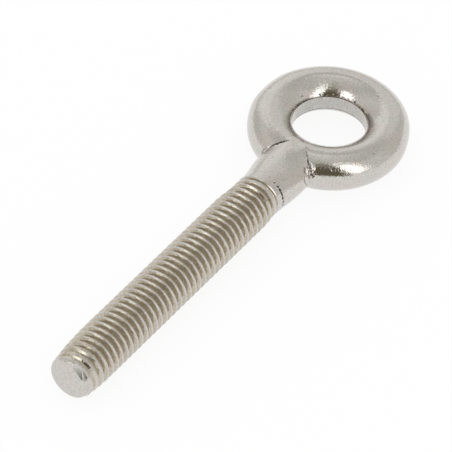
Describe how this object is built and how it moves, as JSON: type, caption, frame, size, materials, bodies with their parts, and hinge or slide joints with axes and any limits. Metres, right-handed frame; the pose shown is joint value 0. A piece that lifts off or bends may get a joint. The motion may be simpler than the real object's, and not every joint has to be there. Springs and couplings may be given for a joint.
{
  "type": "eye screw",
  "caption": "Forged steel eye screw: a round ring with a plain hole, a short flared neck and a long shank with a right-hand machine thread. One piece, lying flat.",
  "frame": {"origin": "middle of the hole through the ring", "axes": "+Z along the hole, square to the flat ring; the shank runs along -X from the ring to its end face; +Y is to the left when looking from the ring along +X"},
  "size_m": [0.081, 0.025, 0.008],
  "materials": {
    "steel": "tumbled and polished stainless steel, with fine pits and seams from forging"
  },
  "bodies": {
    "root": {"eye_screw": "steel"}
  },
  "joints": []
}
